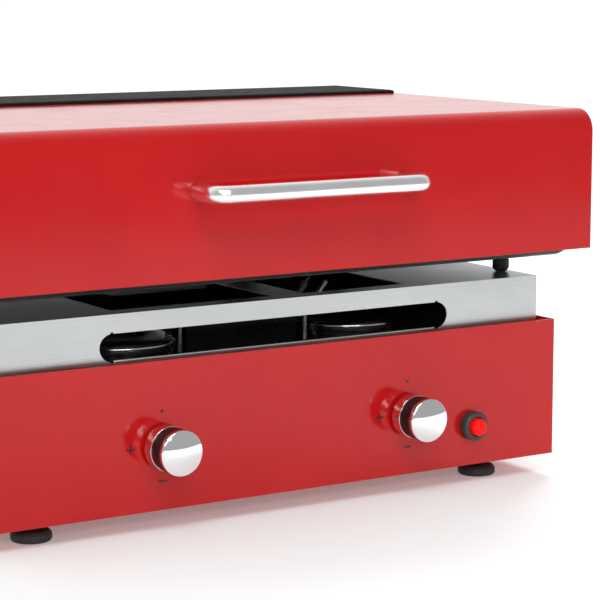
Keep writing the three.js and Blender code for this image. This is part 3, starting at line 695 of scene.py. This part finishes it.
def foot(node):
    lo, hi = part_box(node)
    radius = (hi.x - lo.x) / 2
    place = Vector(((lo.x + hi.x) / 2, (lo.y + hi.y) / 2, lo.z))
    stud = hi.z - lo.z
    neck_top = BASE_LO.z - lo.z - FOOT_CLEARANCE
    outline = rounded([
        (0, 0), (radius - 1.5 * MM, 0, 0.6 * MM), (radius, 2 * MM, 1.0 * MM),
        (radius, 6.5 * MM, 1.6 * MM), (radius - 2.5 * MM, 9.5 * MM, 0.9 * MM),
        (9.6 * MM, 11.4 * MM, 1.5 * MM), (FOOT_NECK, 13.5 * MM, 1.2 * MM),
        (FOOT_NECK, neck_top, 0.5 * MM), (FOOT_STUD, neck_top, 0.2 * MM),
        (FOOT_STUD, stud, 0.5 * MM), (0, stud),
    ])
    mesh = lathe(node + "_turned", outline, place, segments=72)
    add_shading(put(node + "_turned", mesh, "rubber", "base", [node]))


# ---------------------------------------------------------------- knobs, marks and igniter


def knob(side):
    body = "knob_" + side
    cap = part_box("knob_cap_" + side)
    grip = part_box("knob_grip_" + side)
    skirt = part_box("knob_skirt_" + side)
    x = (cap[0].x + cap[1].x) / 2
    z = (cap[0].z + cap[1].z) / 2
    radius = (cap[1].x - cap[0].x) / 2
    place = Vector((x, 0, z))
    dome = KNOB_DOME
    cap_back = -cap[1].y
    cap_front = -cap[0].y - dome
    edge = radius - 0.8 * MM
    sphere = (edge ** 2 + dome ** 2) / (2 * dome)
    arc = [
        (r, cap_front + dome - sphere + math.sqrt(sphere ** 2 - r ** 2))
        for r in (edge * (1 - k / 16) for k in range(1, 17))
    ]
    outline = rounded([
        (0, cap_back), (radius - 0.4 * MM, cap_back, 0.3 * MM), (radius, cap_back + 0.5 * MM, 0.4 * MM),
        (radius, cap_front - 0.8 * MM, 0.7 * MM), (edge, cap_front, 0.6 * MM), arc[0],
    ]) + [Vector(p) for p in arc[1:]]
    mesh = lathe("knob_dome_" + side, outline, place, FORWARD, 128)
    add_shading(put("knob_dome_" + side, mesh, "chrome", body, ["knob_cap_" + side]), False)

    back, front = -grip[1].y, -grip[0].y
    hub = KNOB_RING_HUB
    reach = radius - 0.25 * MM
    groove = radius - 0.9 * MM
    outline = rounded([
        (hub, back), (groove, back, 0.1 * MM), (groove, back + 0.9 * MM, 0.2 * MM),
        (reach, back + 1.5 * MM, 0.4 * MM), (reach, front - 1.5 * MM, 0.4 * MM),
        (groove, front - 0.9 * MM, 0.2 * MM), (groove, front, 0.1 * MM), (hub, front),
    ], closed=True)
    mesh = lathe("knob_ring_" + side, outline, place, FORWARD, 128, closed=True)
    add_shading(put("knob_ring_" + side, mesh, "grip_plastic", body, ["knob_grip_" + side]), False)

    back, front = -skirt[1].y, -skirt[0].y
    skirt_front = back + KNOB_SKIRT_LENGTH
    stem = KNOB_STEM
    outline = rounded([
        (stem, back + KNOB_HOLLOW), (radius - KNOB_WALL, back + KNOB_HOLLOW, 0.8 * MM),
        (radius - KNOB_WALL, back, 0.2 * MM), (radius - 0.7 * MM, back, 0.5 * MM),
        (radius, back + 0.8 * MM, 0.5 * MM), (radius, skirt_front, 0.5 * MM),
        (KNOB_SKIRT_HUB, skirt_front, 0.2 * MM), (KNOB_SKIRT_HUB, front), (stem, front),
    ], closed=True)
    mesh = lathe("knob_barrel_" + side, outline, place, FORWARD, 128, closed=True)
    add_shading(put("knob_barrel_" + side, mesh, "chrome", body, ["knob_skirt_" + side]), False)


def slab(name, centre_x, centre_z, width, height, face_y, proud):
    """A thin plate with rounded corners on the front face."""
    radius = min(width, height) / 2 * 0.6
    corners = [
        (-width / 2, -height / 2, radius), (width / 2, -height / 2, radius),
        (width / 2, height / 2, radius), (-width / 2, height / 2, radius),
    ]
    outline = rounded(corners, closed=True, steps=3)
    count = len(outline)
    points, faces = [], []
    for y in (face_y, face_y - proud):
        points += [Vector((centre_x + p.x, y, centre_z + p.y)) for p in outline]
    for k in range(count):
        m = (k + 1) % count
        faces.append((k, m, m + count, k + count))
    faces.append(tuple(range(count)))
    faces.append(tuple(count + k for k in range(count)))
    return mesh_of(name, points, faces)


def marks(side):
    """The raised dot above, plus to the left of and minus below each knob."""
    place = centre("knob_skirt_" + side)
    ring = 31.6 * MM
    proud = 0.15 * MM
    bar, stroke, dot = 9 * MM, 1.5 * MM, 2.6 * MM
    face = BASE_LO.y
    parts = {
        "dot": (place.x, place.z + ring, dot, dot),
        "minus": (place.x, place.z - ring, bar, stroke),
        "plus_flat": (place.x - ring, place.z, bar, stroke),
        "plus_upright": (place.x - ring, place.z, stroke, bar),
    }
    for word, (x, z, width, height) in parts.items():
        name = "mark_" + word + "_" + side
        depth = proud * (1.2 if word == "plus_upright" else 1)
        obj = put(name, slab(name, x, z, width, height, face, depth), "mark_ink", "base")
        add_shading(obj)


def igniter():
    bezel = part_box("igniter_bezel")
    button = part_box("igniter_button")
    place = Vector(((bezel[0].x + bezel[1].x) / 2, 0, (bezel[0].z + bezel[1].z) / 2))
    radius = (bezel[1].x - bezel[0].x) / 2
    face, tail = BASE_LO.y - bezel[0].y, BASE_LO.y - bezel[1].y
    place.y = BASE_LO.y
    bore, sleeve = BEZEL_BORE, BEZEL_SLEEVE
    outline = rounded([
        (bore, tail), (sleeve, tail, 0.6 * MM), (sleeve, 0.3 * MM), (radius, 0.3 * MM, 0.4 * MM),
        (radius, face - 2 * MM, 0.9 * MM), (radius - 1.6 * MM, face, 0.9 * MM),
        (bore + 1.4 * MM, face, 0.5 * MM), (bore, face - 1.2 * MM, 0.4 * MM),
    ], closed=True)
    mesh = lathe("bezel_ring", outline, place, FORWARD, 96, closed=True)
    add_shading(put("bezel_ring", mesh, "bezel_plastic", "base", ["igniter_bezel"]), False)
    radius = (button[1].x - button[0].x) / 2
    front, tail = BASE_LO.y - button[0].y, BASE_LO.y - button[1].y
    outline = rounded([
        (0, tail), (radius, tail, 0.4 * MM), (radius, front - 1.6 * MM, 0.9 * MM),
        (radius - 1.5 * MM, front, 1.2 * MM), (0, front - 0.3 * MM),
    ])
    mesh = lathe("push_button", outline, place, FORWARD, 96)
    add_shading(put("push_button", mesh, "red_plastic", "igniter_plunger", ["igniter_button"]), False)


# ---------------------------------------------------------------- burners


def burner_cap(node):
    lo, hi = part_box(node)
    radius = (hi.x - lo.x) / 2
    thick = hi.z - lo.z
    place = Vector(((lo.x + hi.x) / 2, (lo.y + hi.y) / 2, lo.z))
    outline = rounded([
        (0, 0), (radius, 0, 0.4 * MM), (radius, 2 * MM, 1.0 * MM),
        (radius - 2.5 * MM, thick - 1 * MM, 1.0 * MM), (radius - 6 * MM, thick, 1.0 * MM),
        (radius * 0.5, thick, 0.8 * MM), (radius * 0.46, thick - 1.2 * MM, 0.8 * MM),
        (0, thick - 1.2 * MM),
    ])
    mesh = lathe(node + "_turned", outline, place, segments=96)
    add_shading(put(node + "_turned", mesh, "burner_steel", "base", [node]), False)


def slot_lip():
    """The sheet rolled over along the lower edge of the long slot, between its two relief notches."""
    height = BASE_LO.z + LIP_HEIGHT
    y = BAND_LO.y + LIP_RADIUS
    path = [Vector((LIP_HALF * (1 - k / 12 * 2), y, height)) for k in range(13)]
    # The lip takes the lighter copy of the band's steel, a painted highlight.
    obj = put("slot_lip", tube("slot_lip", path, LIP_RADIUS, 24), "rolled_edge_painted_highlight", "base")
    add_bevel(obj, 0.6 * MM, 3, 60)
    add_shading(obj, False)


# ---------------------------------------------------------------- assembly of looks


def dress_cad_nodes():
    for part in frame["record"]["subparts"]:
        for place in frame["nodes"][part["node"]].material_slots:
            place.material = LOOKS[part["material_slot"]]


def build():
    lid()
    cowl()
    handle()
    griddle()
    for end in ENDS:
        for side in SIDES:
            post(f"plate_post_{end}_{side}")
            foot(f"foot_{end}_{side}")
            burner_cap(f"burner_cap_{side}_{end}")
    for side in SIDES:
        knob(side)
        marks(side)
    igniter()
    slot_lip()
    soften_node("base_shell", 0.6 * MM, 3)
    soften_node("burner_frame", 0.5 * MM, 3)
    shown = [n for n, o in frame["nodes"].items() if not o.hide_render and not o.modifiers]
    for name in sorted(shown):
        soften_node(name)


# ---------------------------------------------------------------- camera, floor and light


def camera():
    """The view from the front left, a little above, with the grill's left end outside the picture."""
    data = bpy.data.cameras.new("camera")
    obj = bpy.data.objects.new("camera", data)
    bpy.context.scene.collection.objects.link(obj)
    corner = Vector((BASE_HI.x, BASE_LO.y, BASE_LO.z))
    obj.location = corner + BASE_HEIGHT * CAMERA_OFFSET
    obj.rotation_euler = (math.radians(90 - CAMERA_DOWN), 0, math.radians(CAMERA_TURN))
    data.sensor_width = 36
    data.lens = CAMERA_LENS
    data.clip_start = 0.05
    data.clip_end = 100
    bpy.context.scene.camera = obj


def aim(obj, target):
    obj.rotation_mode = "QUATERNION"
    obj.rotation_quaternion = (Vector(target) - obj.location).to_track_quat("-Z", "Y")


def panel(name, place, target, width, height, power):
    data = bpy.data.lights.new(name, "AREA")
    data.shape = "RECTANGLE"
    data.size = width
    data.size_y = height
    data.energy = power
    obj = bpy.data.objects.new(name, data)
    obj.location = place
    obj.visible_camera = False
    bpy.context.scene.collection.objects.link(obj)
    aim(obj, target)
    return obj


def floor():
    """A plain white floor. Its own faint light keeps the shadow soft and hides its edge."""
    corners = ((-1, -1), (1, -1), (1, 1), (-1, 1))
    points = [(x * FLOOR_HALF, y * FLOOR_HALF, FLOOR_Z) for x, y in corners]
    mesh = mesh_of("floor", points, [(0, 1, 2, 3)])
    obj = bpy.data.objects.new("floor", mesh)
    bpy.context.scene.collection.objects.link(obj)
    look = Look(
        "floor_white", Roughness=0.9, Specular_IOR_Level=0.0,
        Emission_Color=(1.0, 1.0, 1.0, 1), Emission_Strength=0.19,
    )
    look.colour(look.tint(look.noise(3), (0.3, (0.85, 0.89, 0.89)), (0.7, (0.87, 0.91, 0.91))))
    mesh.materials.append(look.material)


def surroundings():
    """White behind the grill and grey in front of it; the camera sees plain white."""
    world = bpy.data.worlds.new("studio")
    bpy.context.scene.world = world
    world.use_nodes = True
    nodes, links = world.node_tree.nodes, world.node_tree.links
    nodes.clear()
    place = nodes.new("ShaderNodeTexCoord")
    parts = nodes.new("ShaderNodeSeparateXYZ")
    links.new(place.outputs["Generated"], parts.inputs[0])
    ramp = nodes.new("ShaderNodeMapRange")
    ramp.inputs["From Min"].default_value = -0.3
    ramp.inputs["From Max"].default_value = 0.5
    ramp.inputs["To Min"].default_value = 0.42
    ramp.inputs["To Max"].default_value = 0.98
    links.new(parts.outputs["Y"], ramp.inputs["Value"])
    room = nodes.new("ShaderNodeBackground")
    links.new(ramp.outputs[0], room.inputs["Strength"])
    room.inputs["Color"].default_value = (1, 1, 1, 1)
    seen = nodes.new("ShaderNodeBackground")
    seen.inputs["Color"].default_value = (1, 1, 1, 1)
    seen.inputs["Strength"].default_value = 1.1
    rays = nodes.new("ShaderNodeLightPath")
    mix = nodes.new("ShaderNodeMixShader")
    links.new(rays.outputs["Is Camera Ray"], mix.inputs[0])
    links.new(room.outputs[0], mix.inputs[1])
    links.new(seen.outputs[0], mix.inputs[2])
    end = nodes.new("ShaderNodeOutputWorld")
    links.new(mix.outputs[0], end.inputs[0])


def lights():
    """A key light from behind on the right, a high front light and a row of small windows."""
    panel("key", KEY_PLACE, LIGHT_TARGET, 1.6, 1.2, KEY_POWER).visible_glossy = False
    panel("front_high", FRONT_PLACE, LIGHT_TARGET, 2.2, 1.0, FRONT_POWER)
    for k in range(WINDOW_COUNT):
        spot = (WINDOW_FIRST_X + WINDOW_PITCH * k, -3.0, 1.25)
        panel(f"window_{k}", spot, LIGHT_TARGET, 0.36, 0.5, WINDOW_POWER)


dress_cad_nodes()
build()
camera()
floor()
surroundings()
lights()
bpy.context.scene.view_settings.view_transform = "Standard"
